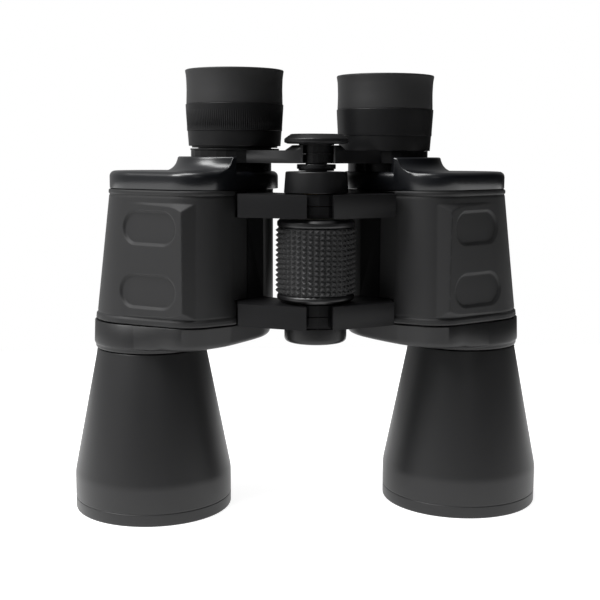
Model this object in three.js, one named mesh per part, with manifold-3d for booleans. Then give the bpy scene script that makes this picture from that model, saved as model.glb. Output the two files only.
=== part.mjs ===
// Porro-prism binoculars, standing on their objective ends with the eyepieces up.
// Millimetres, +Z towards the eyepieces. The focus wheel faces -Y. The user's right half is at -X.
// Everything is laid out from the hinge axis (x = 0, y = 0) and the plane that the barrels stand on (z = 0);
// the finished assembly is moved so that its origin is the bottom centre of its own box.
import * as THREE from 'three';
import { ConvexGeometry } from 'three/addons/geometries/ConvexGeometry.js';
import { mergeVertices } from 'three/addons/utils/BufferGeometryUtils.js';
import Module from 'manifold-3d';

const wasm = await Module();
wasm.setup();

// ---- driving dimensions -------------------------------------------------------------------------------

const GAP = 0.3;                        // clearance between pieces that touch or run on each other
const SEGMENTS = 20;                    // sides of a turned piece
const FINE_SEGMENTS = 28;               // sides of the large turned pieces
const OUTLINE_SEGMENTS = 16;            // sides of each circle in a plan outline
const CURVE_STEPS = 3;                  // steps along a lens face or a fillet
const OVERRUN = 1;                      // cutting solids run this far past the faces that they cut
const FAR = 200;                        // half the size of a cutting block that clears the whole object

// optical axes, measured from the hinge axis on the left half and mirrored on the right half
const OBJECTIVE_X = 62.5;
const OBJECTIVE_Y = 26.6;
const EYEPIECE_X = 29.4;
const EYEPIECE_Y = 24.7;

// objective barrel
const LENS_RADIUS = 26.2;               // outside radius of both objective glasses
const HOOD_WALL = 4.8;                  // from the glass out to the rim
const RIM_RADIUS = LENS_RADIUS + HOOD_WALL;
const RIM_HEIGHT = 14.7;                // straight part of the barrel at the objective end
const BARREL_HEIGHT = 64.4;             // top of the visible cone
const BARREL_TOP_RADIUS = 21.26;
const NECK_RADIUS = 19.4;               // threaded neck that enters the front plate
const NECK_LENGTH = 9.6;
const BARREL_WALL = 2;
const LENS_LAND = 1.2;                  // width of the seat and of the retaining ring on the glass
const APERTURE_RADIUS = LENS_RADIUS - LENS_LAND;
const LENS_SEAT_HEIGHT = 22.3;
const CROWN_SAG = 2.8;                  // rise of the front face of the crown
const CEMENT_SAG = 3.6;                 // rise of the face between crown and flint
const CROWN_EDGE = 2.9;
const FLINT_EDGE = 5;
const FLINT_BACK_SAG = 0.7;
const RETAINING_RING_HEIGHT = 3.2;
const RIM_LAND = 2.4;                   // width of the flat face that the barrel stands on
const HOOD_DEPTH = 9;                   // depth of the flared hood in front of the glass

// front plate
const COLLAR_RADIUS = 21.9;
const COLLAR_BOTTOM = BARREL_HEIGHT + GAP;
const COLLAR_DROP = 2;                  // how far the collar stands out below the plate
const PLATE_HEIGHT = 9;
const PLATE_BOTTOM = COLLAR_BOTTOM + COLLAR_DROP;
const PLATE_TOP = PLATE_BOTTOM + PLATE_HEIGHT;
const PLATE_FLOOR = 2.4;
const PLATE_WALL = 2;
const PLATE_EDGE_DRAFT = 1.1;           // how far the plate's outline draws in at its bottom

// prism housing outline: the hull of four circles, given at the two ends of the housing
const HOUSING_HEIGHT = 50.6;
const HOUSING_BOTTOM = PLATE_TOP + GAP;
const HOUSING_TOP = HOUSING_BOTTOM + HOUSING_HEIGHT;
const OUTER_END_SHIFT = [0.7, 5.2];     // how far inside the objective axis the outer end is centred
const OUTER_END_RADIUS = [22, 20];
// where the beam turns between the two prisms
const TURN_X = (OBJECTIVE_X + EYEPIECE_X - EYEPIECE_Y + OBJECTIVE_Y) / 2;
const TURN_Y = (OBJECTIVE_Y + EYEPIECE_Y + EYEPIECE_X - OBJECTIVE_X) / 2;
const SWELL_SHIFT = [[0, 0.1], [-2, -0.3]]; // centre of the front swell from there
const SWELL_RADIUS = 14.4;
const EYEPIECE_END_WALL = 0.7;          // the inner end is this much wider than the eyepiece tube
const TUBE_RADIUS = 14.2;
const OUTER_END = [0, 1].map((i) => (
  { x: OBJECTIVE_X - OUTER_END_SHIFT[i], y: OBJECTIVE_Y, r: OUTER_END_RADIUS[i] }));
const FRONT_SWELL = SWELL_SHIFT.map(([x, y]) => ({ x: TURN_X + x, y: TURN_Y + y, r: SWELL_RADIUS }));
const EYEPIECE_END = [0, 1].map(() => ({ x: EYEPIECE_X, y: EYEPIECE_Y, r: TUBE_RADIUS + EYEPIECE_END_WALL }));
const FRONT_CORNER = [{ x: 34, y: 5.4, r: 4.4 }, { x: 34, y: 5.4, r: 4.4 }];
const OUTLINE = [OUTER_END, FRONT_SWELL, EYEPIECE_END, FRONT_CORNER];
const ARMOUR_THICKNESS = 1.5;
const HOUSING_WALL = 1.2;
const ARMOUR_EDGE_X = 25.5;             // the armour stops here and leaves the inner wall bare

// thumb panel on the armour
const PANEL_INNER_SHIFT = [3.1, -16.2]; // proud edge of the panel, from the beam's turn
const PANEL_OUTER_SHIFT = [11.5, 7.8];  // flush edge, outside the objective axis at the panel's two ends
const PANEL_OUTER_Y = [7.9, 10.9];
const PANEL_INNER = { x: TURN_X + PANEL_INNER_SHIFT[0], y: TURN_Y + PANEL_INNER_SHIFT[1] };
const PANEL_OUTER = [0, 1].map((i) => ({ x: OBJECTIVE_X + PANEL_OUTER_SHIFT[i], y: PANEL_OUTER_Y[i] }));
const PANEL_BOTTOM_MARGIN = 6.2;        // from the housing's ends to the panel's
const PANEL_TOP_MARGIN = 8;
const PANEL_BOTTOM = HOUSING_BOTTOM + PANEL_BOTTOM_MARGIN;
const PANEL_TOP = HOUSING_TOP - PANEL_TOP_MARGIN;
const PANEL_FOOT_DEPTH = 0.7;           // depth of the border's foot, as a share of its width
const PANEL_BEVEL = 3.2;                // width of the sloping border
const DIMPLE_WIDTH = 19.6;
const DIMPLE_HEIGHT = 13;
const DIMPLE_DEPTH = 0.4;
const DIMPLE_MARGIN = [7, 6];           // from the panel's ends to the dimples' centres
const DIMPLE_CENTRES = [PANEL_BOTTOM + DIMPLE_MARGIN[0], PANEL_TOP - DIMPLE_MARGIN[1]];

// prism cover
const COVER_SEAM = 0.4;                 // open seam between the housing and the cover
const COVER_HEIGHT = 6.4;
const COVER_BOTTOM = HOUSING_TOP + COVER_SEAM;
const COVER_TOP = COVER_BOTTOM + COVER_HEIGHT;
const COVER_ROOF = 2.4;
const COVER_WALL = 2.2;
const COVER_ROUND = 2.2;                // size of the sloping shoulder around the top
const COVER_EDGE = 0.6;
const GUIDE_WALL = 2.3;                 // wall of the bore that guides the eyepiece tube
const BRIDGE_RING_WALL = 2.8;
const BRIDGE_RING_RADIUS = TUBE_RADIUS + BRIDGE_RING_WALL;
const BOSS_HEIGHT = 5.5;
const BOSS_TOP = COVER_TOP + BOSS_HEIGHT;
const BOSS_RIM = 5.2;                   // from the bridge ring out to the boss's edge
const BOSS_RADIUS = BRIDGE_RING_RADIUS + BOSS_RIM;
const BOSS_FLARE = 5.4;                 // radius of the concave foot of the boss
const BOSS_END_INSET = 0.2;
const BOSS_END_X = EYEPIECE_X - BOSS_END_INSET; // the boss is cut off flat here, clear of the bridge arm
const RECESS_RISE = 2.4;
const RECESS_FLOOR = COVER_TOP + RECESS_RISE; // sunk seat that the bridge ring drops into

// prisms and shelf
const SHELF_HEIGHT = 22.2;              // above the housing's bottom
const SHELF_BOTTOM = HOUSING_BOTTOM + SHELF_HEIGHT;
const SHELF_THICKNESS = 3;
const SHELF_OBJECTIVE_HOLE = 11;
const SHELF_PRISM_HOLE = 7.5;
const PRISM_LENGTH = 37;
const PRISM_WIDTH = 17;
const PRISM_RIDGE_FLAT = 3;             // width of the flat ground along the ridge
const PRISM_CORNER = 4.5;               // corners ground off at both ends
const CLIP_WIDTH = 6;
const CLIP_THICKNESS = 0.6;
const CLIP_LEG = 12;                    // how far the strap reaches along each roof face

// hinge
const ARM_HEIGHT = 8.5;
const UPPER_ARM_MARGIN = 1.2;           // from the housing's ends to the arms
const LOWER_ARM_MARGIN = 0.5;
const UPPER_ARM_BOTTOM = HOUSING_TOP - UPPER_ARM_MARGIN - ARM_HEIGHT;
const LOWER_ARM_BOTTOM = HOUSING_BOTTOM + LOWER_ARM_MARGIN;
const ARM_FRONT_Y = -15.6;              // front of the arms beside the hinge
const ARM_END_X = 4.9;                  // end face beside the hinge
const ARM_OUTER_X = 29.2;
const ARM_OUTER_Y = -4.5;
const ARM_BACK = [[ARM_OUTER_X, 9], [19, 17], [10, 8.5], [ARM_END_X, 3]]; // back of the arm, in plan
const KNUCKLE_RADIUS = 11.4;
const KNUCKLE_CLEARANCE = 0.4;
const BUSH_RADIUS = 6.2;
const BUSH_BORE = 4.3;
const UPPER_CAP_RADIUS = 12;
const UPPER_CAP_TOP_RADIUS = 11.4;
const UPPER_CAP_BOTTOM = UPPER_ARM_BOTTOM + ARM_HEIGHT + GAP;
const UPPER_CAP_HEIGHT = 7.9;
const UPPER_CAP_ROOF = 1;
const LOWER_CAP_RADIUS = 11.4;
const LOWER_CAP_HEIGHT = 6;
const LOWER_CAP_BOTTOM = LOWER_ARM_BOTTOM - GAP - LOWER_CAP_HEIGHT;
const LOWER_CAP_CHAMFER = 1.2;
const TRIPOD_THREAD_RADIUS = 3.175;     // quarter inch socket behind the lower cap
const CAP_STUD_LENGTH = 5.5;

// focus wheel
const WHEEL_CLEARANCE = 0.8;            // room for a washer at each end of the wheel
const WHEEL_BOTTOM = LOWER_ARM_BOTTOM + ARM_HEIGHT + WHEEL_CLEARANCE;
const WHEEL_TOP = UPPER_ARM_BOTTOM - WHEEL_CLEARANCE;
const WHEEL_CHAMFER = 0.9;
const WHEEL_RIM_RADIUS = 14.5;
const WHEEL_RIM_BOTTOM = 2.5;           // height of the plain rim below the grip
const WHEEL_RIM_TOP = 2.9;
const WHEEL_CORE_RADIUS = 13.2;
const GRIP_RADIUS = 15.1;
const WASHER_RADIUS = 9;
const WASHER_THICKNESS = 0.3;
const SPINDLE_RADIUS = 4;
const SPINDLE_INSET = 4.2;              // the spindle ends this far above the wheel's bottom
const SPINDLE_BOTTOM = WHEEL_BOTTOM + SPINDLE_INSET;

// ocular bridge
const BRIDGE_CLEARANCE = 0.8;           // above the recess, for focusing past infinity
const BRIDGE_BOTTOM = RECESS_FLOOR + BRIDGE_CLEARANCE;
const BRIDGE_ARM_THICKNESS = 4.7;
const BRIDGE_BAR_RADIUS = 11;           // the bar's half width where it runs into the ring
const BRIDGE_HUB_RADIUS = 9;            // root of the arm around the knuckles
const BRIDGE_END_X = 5.6;               // end face beside the knuckles
const BRIDGE_FLARE = 0.3;               // share of the bar's length over which it thickens to the hub
const BRIDGE_KNUCKLE_RADIUS = 6.5;
const BRIDGE_HUB_HEIGHT = 6.6;
const BRIDGE_SPLIT_HEIGHT = 3.5;        // where the two knuckles meet
const BRIDGE_HUB_TOP = BRIDGE_BOTTOM + BRIDGE_HUB_HEIGHT;
const BRIDGE_SPLIT = BRIDGE_BOTTOM + BRIDGE_SPLIT_HEIGHT;
const BRIDGE_CAP_RADIUS = 11.9;
const BRIDGE_CAP_FACE_RADIUS = 9;
const BRIDGE_CAP_EDGE = 0.6;
const BRIDGE_CAP_SEAM = 0.5;
const BRIDGE_CAP_HEIGHT = 3.6;
const BRIDGE_CAP_BOTTOM = BRIDGE_HUB_TOP + BRIDGE_CAP_SEAM;
const BRIDGE_CAP_TOP = BRIDGE_CAP_BOTTOM + BRIDGE_CAP_HEIGHT;
const BRIDGE_COLLAR_RADIUS = 7.2;
const BRIDGE_COLLAR_CLEARANCE = 0.4;
const BRIDGE_COLLAR_BOTTOM = UPPER_CAP_BOTTOM + UPPER_CAP_HEIGHT + BRIDGE_COLLAR_CLEARANCE;

// eyepieces; heights are for the left one, and the dioptre side stands higher
const DIOPTRE_LIFT = 1.6;
const TUBE_WALL = 2.3;
const TUBE_INSET = 0.6;                 // the tube ends this far above the cover's underside
const TUBE_ENGAGEMENT = 3.9;            // length of the tube inside the lower ring
const CELL_RADIUS = TUBE_RADIUS - TUBE_WALL - GAP;
const CELL_WALL = 1.4;
const CELL_BORE = CELL_RADIUS - CELL_WALL;
const CELL_LENGTH = 42;
const CELL_INSET = 1.5;                 // the cell ends this far below the eyecup
const LOWER_RING_HEIGHT = 5.4;
const LOWER_RING_WALL = 3.3;            // wall over the tube at the ring's bottom
const LOWER_RING_TOP_WALL = 3.7;
const UPPER_RING_HEIGHT = 9.9;
const UPPER_RING_WALL = 4.2;
const UPPER_RING_TOP_WALL = 4.7;
const RING_ROOF = 3;
const EYECUP_HEIGHT = 12.7;
const EYECUP_FOOT_WALL = 4.4;
const EYECUP_LIP_WALL = 5;
const LOWER_RING_RADIUS = TUBE_RADIUS + LOWER_RING_WALL;
const LOWER_RING_TOP_RADIUS = TUBE_RADIUS + LOWER_RING_TOP_WALL;
const UPPER_RING_RADIUS = TUBE_RADIUS + UPPER_RING_WALL;
const UPPER_RING_TOP_RADIUS = TUBE_RADIUS + UPPER_RING_TOP_WALL;
const EYECUP_FOOT_RADIUS = TUBE_RADIUS + EYECUP_FOOT_WALL;
const EYECUP_LIP_RADIUS = TUBE_RADIUS + EYECUP_LIP_WALL;
const TUBE_BOTTOM = COVER_BOTTOM + TUBE_INSET;
const LOWER_RING_BOTTOM = BRIDGE_BOTTOM + BRIDGE_ARM_THICKNESS + GAP;
const TUBE_TOP = LOWER_RING_BOTTOM + TUBE_ENGAGEMENT;
const UPPER_RING_BOTTOM = LOWER_RING_BOTTOM + LOWER_RING_HEIGHT + GAP;
const EYECUP_BOTTOM = UPPER_RING_BOTTOM + UPPER_RING_HEIGHT + GAP;
const EYECUP_TOP = EYECUP_BOTTOM + EYECUP_HEIGHT;
const CELL_TOP = EYECUP_BOTTOM - CELL_INSET;
const CELL_BOTTOM = CELL_TOP - CELL_LENGTH;
const EYECUP_WALL = 2.6;
const EYECUP_FLOOR = 1.8;
const EYECUP_WAIST = 5.5;               // height of the straight foot of the cup
const EYE_HOLE_RADIUS = CELL_BORE + GAP;
const EYE_LENS_DEPTH = 7.5;             // seat of the eye lens below the cell's top
const FIELD_LENS_INSET = 2;             // seat of the field lens above the cell's bottom
const EYE_LENS_BOTTOM = CELL_TOP - EYE_LENS_DEPTH;
const FIELD_LENS_BOTTOM = CELL_BOTTOM + FIELD_LENS_INSET;
const EYEPIECE_LENS_EDGE = 3;
const EYEPIECE_LENS_SAG = 1.4;
const RETAINER_HEIGHT = 1.8;
const RETAINER_LAND = 1.8;              // width of the retainer on the glass
const RETAINER_BORE = CELL_BORE - RETAINER_LAND;

// ---- materials ----------------------------------------------------------------------------------------

const finish = (color, roughness, metalness) => () =>
  new THREE.MeshStandardMaterial({ color, roughness, metalness });
const rubber = finish(0x1c1c1e, 0.75, 0);
const glossBlack = finish(0x0f1014, 0.2, 0.1);
const satinBlack = finish(0x19191b, 0.45, 0.2);
const barrelGrey = finish(0x232325, 0.5, 0.1);
const castMetal = finish(0x2a2b2d, 0.55, 0.6);
const aluminium = finish(0x8c8f93, 0.35, 0.9);
const brass = finish(0xb08d4a, 0.35, 0.9);
const steel = finish(0x9a9da1, 0.3, 0.95);
const glass = finish(0x9fc7c0, 0.05, 0);
const nylon = finish(0xd8d4c8, 0.5, 0);

// ---- solids -------------------------------------------------------------------------------------------

// Signed volume of an indexed mesh, which is positive when its faces point outwards.
function signedVolume(positions, triangles) {
  const corner = (index) => new THREE.Vector3().fromArray(positions, index * 3);
  let volume = 0;
  for (let t = 0; t < triangles.length; t += 3) {
    const [a, b, c] = [triangles[t], triangles[t + 1], triangles[t + 2]].map(corner);
    volume += a.dot(b.cross(c)) / 6;
  }
  return volume;
}

// A geometry as one closed mesh: shared vertices merged, empty triangles dropped, faces turned outwards.
function closed(geometry) {
  const bare = new THREE.BufferGeometry();
  bare.setAttribute('position', geometry.getAttribute('position').clone());
  if (geometry.index) bare.setIndex(geometry.index.clone());
  const merged = mergeVertices(bare, 1e-4);
  const source = merged.index.array;
  const kept = [];
  for (let t = 0; t < source.length; t += 3) {
    const [a, b, c] = [source[t], source[t + 1], source[t + 2]];
    if (a !== b && b !== c && c !== a) kept.push(a, b, c);
  }
  if (signedVolume(merged.getAttribute('position').array, kept) < 0) kept.reverse();
  merged.setIndex(kept);
  return merged;
}

function toManifold(geometry) {
  const mesh = closed(geometry);
  const vertProperties = new Float32Array(mesh.getAttribute('position').array);
  const triVerts = new Uint32Array(mesh.index.array);
  return new wasm.Manifold(new wasm.Mesh({ numProp: 3, vertProperties, triVerts }));
}

function fromManifold(manifold) {
  const mesh = manifold.getMesh();
  const geometry = new THREE.BufferGeometry();
  geometry.setAttribute('position', new THREE.BufferAttribute(new Float32Array(mesh.vertProperties), 3));
  geometry.setIndex(new THREE.BufferAttribute(new Uint32Array(mesh.triVerts), 1));
  return geometry;
}

const combine = (operation) => (first, ...rest) =>
  fromManifold(rest.map(toManifold).reduce((body, other) => body[operation](other), toManifold(first)));
const join = combine('add');
const cut = combine('subtract');
const common = combine('intersect');

// Solid of revolution about Z. The profile is a list of [radius, height]; a ring's profile closes on itself.
function turned(profile, segments = SEGMENTS) {
  const points = profile.map(([radius, height]) => new THREE.Vector2(radius, height));
  return closed(new THREE.LatheGeometry(points, segments).rotateX(Math.PI / 2));
}

// A turned ring: the profile is closed for the caller.
const turnedRing = (profile, segments) => turned([...profile, profile[0]], segments);

const tube = (inner, outer, bottom, top, segments) =>
  turnedRing([[inner, bottom], [outer, bottom], [outer, top], [inner, top]], segments);

const rod = (radius, bottom, top, segments) =>
  turned([[0, bottom], [radius, bottom], [radius, top], [0, top]], segments);

// Upright plate: a plan outline given as [x, y] points, between two heights.
function plate(points, bottom, top) {
  const shape = new THREE.Shape(points.map(([x, y]) => new THREE.Vector2(x, y)));
  const geometry = new THREE.ExtrudeGeometry(shape, { depth: top - bottom, bevelEnabled: false });
  return closed(geometry.translate(0, 0, bottom));
}

const slab = (xLow, xHigh, yLow, yHigh, bottom, top) =>
  plate([[xLow, yLow], [xHigh, yLow], [xHigh, yHigh], [xLow, yHigh]], bottom, top);

const at = (geometry, x, y, z = 0) => geometry.clone().translate(x, y, z);

const mirrored = (geometry) => closed(geometry.clone().scale(-1, 1, 1));

// Points of a circle in plan at one height.
function circlePoints({ x, y, r }, height) {
  return Array.from({ length: OUTLINE_SEGMENTS }, (_, i) => {
    const angle = (i / OUTLINE_SEGMENTS) * 2 * Math.PI;
    return new THREE.Vector3(x + r * Math.cos(angle), y + r * Math.sin(angle), height);
  });
}

// Convex solid around circles at a lower and an upper height.
function circleHull(lower, bottom, upper, top) {
  const points = [
    ...lower.flatMap((circle) => circlePoints(circle, bottom)),
    ...upper.flatMap((circle) => circlePoints(circle, top)),
  ];
  return closed(new ConvexGeometry(points));
}

// ---- housing outline ----------------------------------------------------------------------------------

// The outline's circles at a height, drawn in by an inset, with the draft between the housing's two ends.
function outlineAt(height, inset) {
  const share = (height - HOUSING_BOTTOM) / (HOUSING_TOP - HOUSING_BOTTOM);
  return OUTLINE.map(([low, high]) => ({
    x: THREE.MathUtils.lerp(low.x, high.x, share),
    y: THREE.MathUtils.lerp(low.y, high.y, share),
    r: Math.max(THREE.MathUtils.lerp(low.r, high.r, share) - inset, GAP),
  }));
}

const outlineSolid = (inset, bottom, top, topInset = inset) =>
  circleHull(outlineAt(bottom, inset), bottom, outlineAt(top, topInset), top);

const CASTING_INSET = ARMOUR_THICKNESS + GAP;
const CAVITY_INSET = CASTING_INSET + HOUSING_WALL;

// ---- prism housing and what closes it -----------------------------------------------------------------

// Hinge arm of the left half. Each pair of arms shares its height: one knuckle above, the other below.
function hingeArm(bottom, knuckleOnTop) {
  const top = bottom + ARM_HEIGHT;
  const split = bottom + ARM_HEIGHT / 2 + (knuckleOnTop ? GAP / 2 : -GAP / 2);
  const own = knuckleOnTop ? [split, top] : [bottom, split];
  const other = knuckleOnTop ? [bottom - OVERRUN, split] : [split, top + OVERRUN];
  const plan = [[ARM_END_X, ARM_FRONT_Y], [ARM_OUTER_X, ARM_OUTER_Y], ...ARM_BACK];
  const web = cut(plate(plan, bottom, top), rod(KNUCKLE_RADIUS + KNUCKLE_CLEARANCE, ...other));
  const arm = join(web, rod(KNUCKLE_RADIUS, ...own));
  return cut(arm, rod(BUSH_RADIUS + GAP, bottom - OVERRUN, top + OVERRUN));
}

// The casting: a drafted wall, thicker where the armour leaves it bare, with the two hinge arms.
function prismHousing(outerFork) {
  const bareSide = slab(-FAR, ARMOUR_EDGE_X - GAP, -FAR, FAR, HOUSING_BOTTOM, HOUSING_TOP);
  const shell = join(
    outlineSolid(CASTING_INSET, HOUSING_BOTTOM, HOUSING_TOP),
    common(outlineSolid(0, HOUSING_BOTTOM, HOUSING_TOP), bareSide),
    hingeArm(UPPER_ARM_BOTTOM, outerFork),
    hingeArm(LOWER_ARM_BOTTOM, !outerFork),
  );
  return cut(shell, outlineSolid(CAVITY_INSET, HOUSING_BOTTOM - OVERRUN, HOUSING_TOP + OVERRUN));
}

// A point of the thumb panel's face: across runs from its proud edge to its flush edge, height is absolute.
function panelPoint(across, height) {
  const share = (height - PANEL_BOTTOM) / (PANEL_TOP - PANEL_BOTTOM);
  const outer = {
    x: THREE.MathUtils.lerp(PANEL_OUTER[0].x, PANEL_OUTER[1].x, share),
    y: THREE.MathUtils.lerp(PANEL_OUTER[0].y, PANEL_OUTER[1].y, share),
  };
  return new THREE.Vector3(
    THREE.MathUtils.lerp(PANEL_INNER.x, outer.x, across),
    THREE.MathUtils.lerp(PANEL_INNER.y, outer.y, across),
    height,
  );
}

// The raised panel: its face, a sloping border on three sides, and a back that lies inside the armour.
function thumbPanel() {
  const ends = [[PANEL_BOTTOM, -PANEL_BEVEL], [PANEL_TOP, PANEL_BEVEL]];
  const points = ends.flatMap(([height, bevel]) => {
    const inner = panelPoint(0, height);
    const foot = inner.clone().add(new THREE.Vector3(-PANEL_BEVEL, PANEL_BEVEL * PANEL_FOOT_DEPTH, bevel));
    const outer = panelPoint(1, height);
    const outerFoot = outer.clone().add(new THREE.Vector3(0, 0, bevel));
    const back = new THREE.Vector3(FRONT_SWELL[0].x, FRONT_SWELL[0].y, height + bevel);
    return [inner, foot, outer, outerFoot, back];
  });
  return closed(new ConvexGeometry(points));
}

// Stadium-shaped cutter for one dimple, square to the panel's face at its centre.
function dimple(height) {
  const halfSpan = (DIMPLE_WIDTH - DIMPLE_HEIGHT) / 2;
  const ends = [-halfSpan, halfSpan].map((x) => ({ x, y: 0, r: DIMPLE_HEIGHT / 2 }));
  const centre = panelPoint(0.5, height);
  const along = panelPoint(1, height).sub(panelPoint(0, height));
  return circleHull(ends, -DIMPLE_DEPTH, ends, PANEL_BEVEL)
    .rotateX(Math.PI / 2)
    .rotateZ(Math.atan2(along.y, along.x))
    .translate(centre.x, centre.y, height);
}

// Rubber skin over the front, the outer end and the back of the casting, notched around the hinge arms.
function armour() {
  const bottom = HOUSING_BOTTOM + GAP;
  const top = HOUSING_TOP - GAP;
  const inside = outlineSolid(ARMOUR_THICKNESS, bottom - OVERRUN, top + OVERRUN);
  const skin = cut(outlineSolid(0, bottom, top), inside);
  const panel = cut(thumbPanel(), outlineSolid(ARMOUR_THICKNESS / 2, bottom, top));
  const notches = [UPPER_ARM_BOTTOM, LOWER_ARM_BOTTOM].map((height) =>
    slab(-FAR, ARM_OUTER_X + GAP, -FAR, EYEPIECE_Y, height - GAP, height + ARM_HEIGHT + GAP));
  const bareSide = slab(-FAR, ARMOUR_EDGE_X, -FAR, FAR, 0, FAR);
  return cut(join(skin, panel), bareSide, ...notches, ...DIMPLE_CENTRES.map(dimple));
}

// The cover follows the housing, but its guide wall around the eyepiece tube stands out past the inner wall.
function coverSolid(inset, bottom, top, topInset = inset) {
  const outlineWithGuide = (height, drawnIn) =>
    outlineAt(height, drawnIn).map((circle, i) =>
      (OUTLINE[i] === EYEPIECE_END ? { ...circle, r: TUBE_RADIUS + GAP + GUIDE_WALL - drawnIn } : circle));
  return circleHull(outlineWithGuide(bottom, inset), bottom, outlineWithGuide(top, topInset), top);
}

// Raised boss around the eyepiece, with a concave foot that runs out onto the cover.
function boss() {
  const flare = Array.from({ length: CURVE_STEPS + 1 }, (_, i) => {
    const angle = (i / CURVE_STEPS) * (Math.PI / 2);
    return [
      BOSS_RADIUS + BOSS_FLARE * (1 - Math.sin(angle)),
      COVER_TOP + BOSS_FLARE * (1 - Math.cos(angle)),
    ];
  });
  const foot = [BOSS_RADIUS + BOSS_FLARE, COVER_TOP - OVERRUN];
  const body = turned([[0, foot[1]], foot, ...flare, [BOSS_RADIUS, BOSS_TOP], [0, BOSS_TOP]], FINE_SEGMENTS);
  const inPlan = common(coverSolid(COVER_EDGE, COVER_BOTTOM, BOSS_TOP + OVERRUN),
    slab(BOSS_END_X, FAR, -FAR, FAR, 0, FAR));
  return common(at(body, EYEPIECE_X, EYEPIECE_Y), inPlan);
}

function prismCover() {
  const shoulder = COVER_TOP - COVER_ROUND;
  const body = join(
    coverSolid(GAP, COVER_BOTTOM, shoulder, COVER_EDGE),
    coverSolid(COVER_EDGE, shoulder, COVER_TOP, COVER_EDGE + COVER_ROUND),
    boss(),
  );
  const guide = rod(TUBE_RADIUS + GAP + GUIDE_WALL, COVER_BOTTOM - 2 * OVERRUN, COVER_TOP);
  const pocket = cut(
    outlineSolid(COVER_WALL, COVER_BOTTOM - OVERRUN, COVER_TOP - COVER_ROOF),
    at(guide, EYEPIECE_X, EYEPIECE_Y),
  );
  const bore = rod(TUBE_RADIUS + GAP, COVER_BOTTOM - OVERRUN, BOSS_TOP + OVERRUN);
  const recess = rod(BRIDGE_RING_RADIUS + 2 * GAP, RECESS_FLOOR, BOSS_TOP + OVERRUN, FINE_SEGMENTS);
  return cut(body, pocket, at(bore, EYEPIECE_X, EYEPIECE_Y), at(recess, EYEPIECE_X, EYEPIECE_Y));
}

// Objective-end plate: a shallow tray with a collar for the barrel's neck.
function frontPlate() {
  const collar = at(rod(COLLAR_RADIUS, COLLAR_BOTTOM, PLATE_TOP, FINE_SEGMENTS), OBJECTIVE_X, OBJECTIVE_Y);
  const tray = outlineSolid(PLATE_EDGE_DRAFT, PLATE_BOTTOM, PLATE_TOP, 0);
  const pocket = outlineSolid(PLATE_WALL, PLATE_BOTTOM + PLATE_FLOOR, PLATE_TOP + OVERRUN);
  const neckBore = rod(NECK_RADIUS + GAP, COLLAR_BOTTOM - OVERRUN, PLATE_TOP + OVERRUN, FINE_SEGMENTS);
  return cut(join(cut(tray, pocket), collar), at(neckBore, OBJECTIVE_X, OBJECTIVE_Y));
}

// ---- prisms -------------------------------------------------------------------------------------------

// The beam enters above the objective, crosses over at the front swell and leaves at the eyepiece.
const ENTRY = new THREE.Vector2(OBJECTIVE_X, OBJECTIVE_Y);
const EXIT = new THREE.Vector2(EYEPIECE_X, EYEPIECE_Y);
const TURN = new THREE.Vector2(TURN_X, TURN_Y);

const SHELF_TOP = SHELF_BOTTOM + SHELF_THICKNESS;
const RIDGE_HEIGHT = (PRISM_LENGTH - PRISM_RIDGE_FLAT) / 2;

function prismShelf() {
  const hole = (radius, centre) =>
    at(rod(radius, SHELF_BOTTOM - OVERRUN, SHELF_TOP + OVERRUN), centre.x, centre.y);
  return cut(
    outlineSolid(CAVITY_INSET + GAP, SHELF_BOTTOM, SHELF_TOP),
    hole(SHELF_OBJECTIVE_HOLE, ENTRY), hole(SHELF_PRISM_HOLE, TURN), hole(SHELF_PRISM_HOLE, EXIT),
  );
}

// Right-angle prism lying on its long face, ridge up, its length along X. Its plan corners are ground off.
function porroPrism() {
  const half = PRISM_LENGTH / 2;
  const ridge = PRISM_RIDGE_FLAT / 2;
  const wide = PRISM_WIDTH / 2;
  const section = [[-half, 0], [half, 0], [ridge, RIDGE_HEIGHT], [-ridge, RIDGE_HEIGHT]];
  const wedge = plate(section, -wide, wide).rotateX(Math.PI / 2);
  const plan = [
    [half, wide - PRISM_CORNER], [half - PRISM_CORNER, wide], [PRISM_CORNER - half, wide],
    [-half, wide - PRISM_CORNER], [-half, PRISM_CORNER - wide], [PRISM_CORNER - half, -wide],
    [half - PRISM_CORNER, -wide], [half, PRISM_CORNER - wide],
  ];
  return common(wedge, plate(plan, -OVERRUN, RIDGE_HEIGHT + OVERRUN));
}

// Spring strap bent over the ridge and down both roof faces.
function prismClip() {
  const run = CLIP_LEG / Math.SQRT2;
  const bend = (offset) => {
    const corner = PRISM_RIDGE_FLAT / 2 + offset * Math.tan(Math.PI / 8);
    const height = RIDGE_HEIGHT + offset;
    return [[-corner - run, height - run], [-corner, height], [corner, height], [corner + run, height - run]];
  };
  const section = [...bend(GAP), ...bend(GAP + CLIP_THICKNESS).reverse()];
  return plate(section, -CLIP_WIDTH / 2, CLIP_WIDTH / 2).rotateX(Math.PI / 2);
}

// Puts a prism or its clip on the shelf between two points of the beam, above the shelf or hung below it.
function onShelf(geometry, from, to, above) {
  const direction = to.clone().sub(from);
  const centre = from.clone().add(to).multiplyScalar(0.5);
  const placed = geometry.clone();
  if (!above) placed.rotateX(Math.PI);
  placed.rotateZ(direction.angle());
  return placed.translate(centre.x, centre.y, above ? SHELF_TOP + GAP : SHELF_BOTTOM - GAP);
}

// ---- objective ----------------------------------------------------------------------------------------

// Glass with a flat edge. Each face rises by its sag at the axis; a negative rise hangs below the edge.
function lens(radius, base, lowRise, edge, highRise) {
  const face = (height, rise) => Array.from({ length: CURVE_STEPS + 1 }, (_, i) => {
    const r = (radius * i) / CURVE_STEPS;
    return [r, height + rise * (1 - (r / radius) ** 2)];
  });
  return turned([...face(base, lowRise), ...face(base + edge, highRise).reverse()]);
}

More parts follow.
